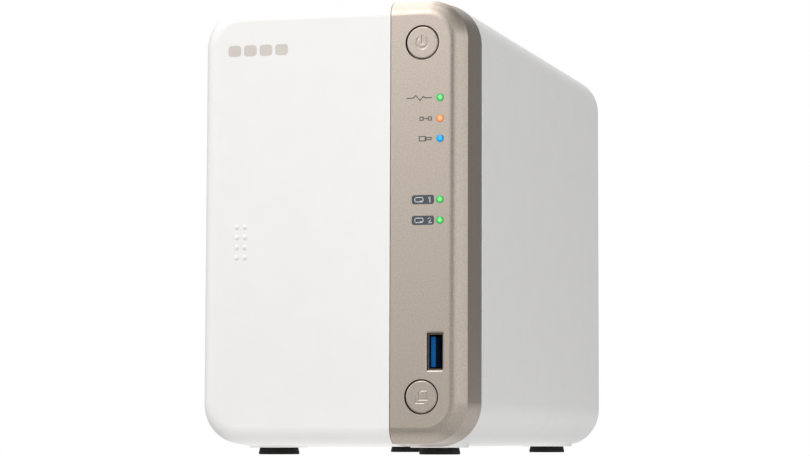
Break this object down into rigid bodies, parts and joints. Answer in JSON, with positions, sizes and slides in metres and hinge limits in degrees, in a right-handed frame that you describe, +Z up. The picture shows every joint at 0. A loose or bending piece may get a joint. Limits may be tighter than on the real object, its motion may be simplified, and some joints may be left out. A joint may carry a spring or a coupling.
{
  "type": "network attached storage",
  "caption": "Upright network storage box with a removable front cover over the drive trays, a metallic control strip with buttons, lights and a data port, rear fan and sockets.",
  "frame": {"origin": "centre of the box's footprint, on the surface that it stands on", "axes": "+Z up, front cover faces -Y, +X is the right-hand side seen from the front"},
  "size_m": [0.104, 0.226, 0.1685],
  "materials": {
    "aluminium_fins": "satin",
    "black_plastic": "matte",
    "black_rubber": "matte",
    "blue_tongue": "satin",
    "champagne": "satin",
    "drive_casting": "matte",
    "gold_contact": "satin",
    "green_board": "satin",
    "grey_plastic": "matte",
    "light_blue": "gloss",
    "light_green": "gloss",
    "light_orange": "gloss",
    "panel_paint": "matte",
    "steel": "satin",
    "white_cover": "satin",
    "white_plastic": "satin",
    "zinc_screw": "satin"
  },
  "bodies": {
    "enclosure": {"audio_jacks": "black_plastic", "backplane": "green_board", "bezel_frame": "grey_plastic", "board_screws": "zinc_screw", "capacitors": "aluminium_fins", "case_sleeve": "white_plastic", "chassis": "steel", "coin_cell": "steel", "control_strip": "champagne", "drive_light_1": "light_green", "drive_light_2": "light_green", "drive_sockets": "black_plastic", "fan_frame": "black_plastic", "fan_screws": "zinc_screw", "foot_front_left": "black_rubber", "foot_front_right": "black_rubber", "foot_rear_left": "black_rubber", "foot_rear_right": "black_rubber", "front_board": "green_board", "front_port_shell": "steel", "front_port_tongue": "blue_tongue", "front_screws": "zinc_screw", "heatsink": "aluminium_fins", "key_switches": "black_plastic", "link_socket": "black_plastic", "main_board": "green_board", "memory_module": "green_board", "network_light": "light_orange", "network_sockets": "steel", "panel_screws": "zinc_screw", "port_light": "light_blue", "power_inlet": "black_plastic", "processor": "black_plastic", "rear_data_ports": "steel", "rear_data_tongues": "blue_tongue", "rear_panel": "panel_paint", "reset_switch": "black_plastic", "standoffs": "gold_contact", "status_light": "light_green", "tray_guides": "grey_plastic", "video_port": "steel"},
    "front_cover": {"front_cover": "white_cover"},
    "power_button": {"power_button": "champagne"},
    "copy_button": {"copy_button": "champagne"},
    "reset_button": {"reset_button": "grey_plastic"},
    "fan_rotor": {"fan_rotor": "black_plastic"},
    "tray_1": {"tray_1": "black_plastic", "tray_screws_1": "zinc_screw", "handle_pin_1": "steel", "drive_body_1": "drive_casting", "drive_lid_1": "steel", "drive_board_1": "green_board"},
    "tray_handle_1": {"tray_handle_1": "grey_plastic"},
    "tray_2": {"tray_2": "black_plastic", "tray_screws_2": "zinc_screw", "handle_pin_2": "steel", "drive_body_2": "drive_casting", "drive_lid_2": "steel", "drive_board_2": "green_board"},
    "tray_handle_2": {"tray_handle_2": "grey_plastic"}
  },
  "joints": [
    {"name": "cover_pull", "type": "slide", "parent": "enclosure", "child": "front_cover", "axis": [-0.5, -0.866, 0], "range_m": [0, 0.32]},
    {"name": "tray_1_slide", "type": "slide", "parent": "enclosure", "child": "tray_1", "axis": [0, -1, 0], "range_m": [0, 0.173]},
    {"name": "tray_handle_1_swing", "type": "hinge", "parent": "tray_1", "child": "tray_handle_1", "pos_m": [-0.0298, -0.1018, 0.0335], "axis": [1, 0, 0], "range_deg": [0, 45.5]},
    {"name": "tray_2_slide", "type": "slide", "parent": "enclosure", "child": "tray_2", "axis": [0, -1, 0], "range_m": [0, 0.173]},
    {"name": "tray_handle_2_swing", "type": "hinge", "parent": "tray_2", "child": "tray_handle_2", "pos_m": [0.0038, -0.1018, 0.0335], "axis": [1, 0, 0], "range_deg": [0, 45.5]},
    {"name": "power_button_press", "type": "slide", "parent": "enclosure", "child": "power_button", "axis": [0, 1, 0], "range_m": [0, 0.0008], "stiffness_N_per_m": 400, "springref_m": -0.0004},
    {"name": "copy_button_press", "type": "slide", "parent": "enclosure", "child": "copy_button", "axis": [0, 1, 0], "range_m": [0, 0.0008], "stiffness_N_per_m": 400, "springref_m": -0.0004},
    {"name": "reset_button_press", "type": "slide", "parent": "enclosure", "child": "reset_button", "axis": [0, -1, 0], "range_m": [0, 0.0005], "stiffness_N_per_m": 400, "springref_m": -0.0004},
    {"name": "fan_spin", "type": "hinge", "parent": "enclosure", "child": "fan_rotor", "pos_m": [-0.014, 0.096, 0.104], "axis": [0, 1, 0], "continuous": true}
  ],
  "couplings": [
    {"joint": "tray_1_slide", "follows": "cover_pull", "ratio": 0.5375},
    {"joint": "tray_handle_1_swing", "follows": "cover_pull", "rad_per_m": 2.4544},
    {"joint": "tray_2_slide", "follows": "cover_pull", "ratio": 0.5375},
    {"joint": "tray_handle_2_swing", "follows": "cover_pull", "rad_per_m": 2.4544}
  ]
}
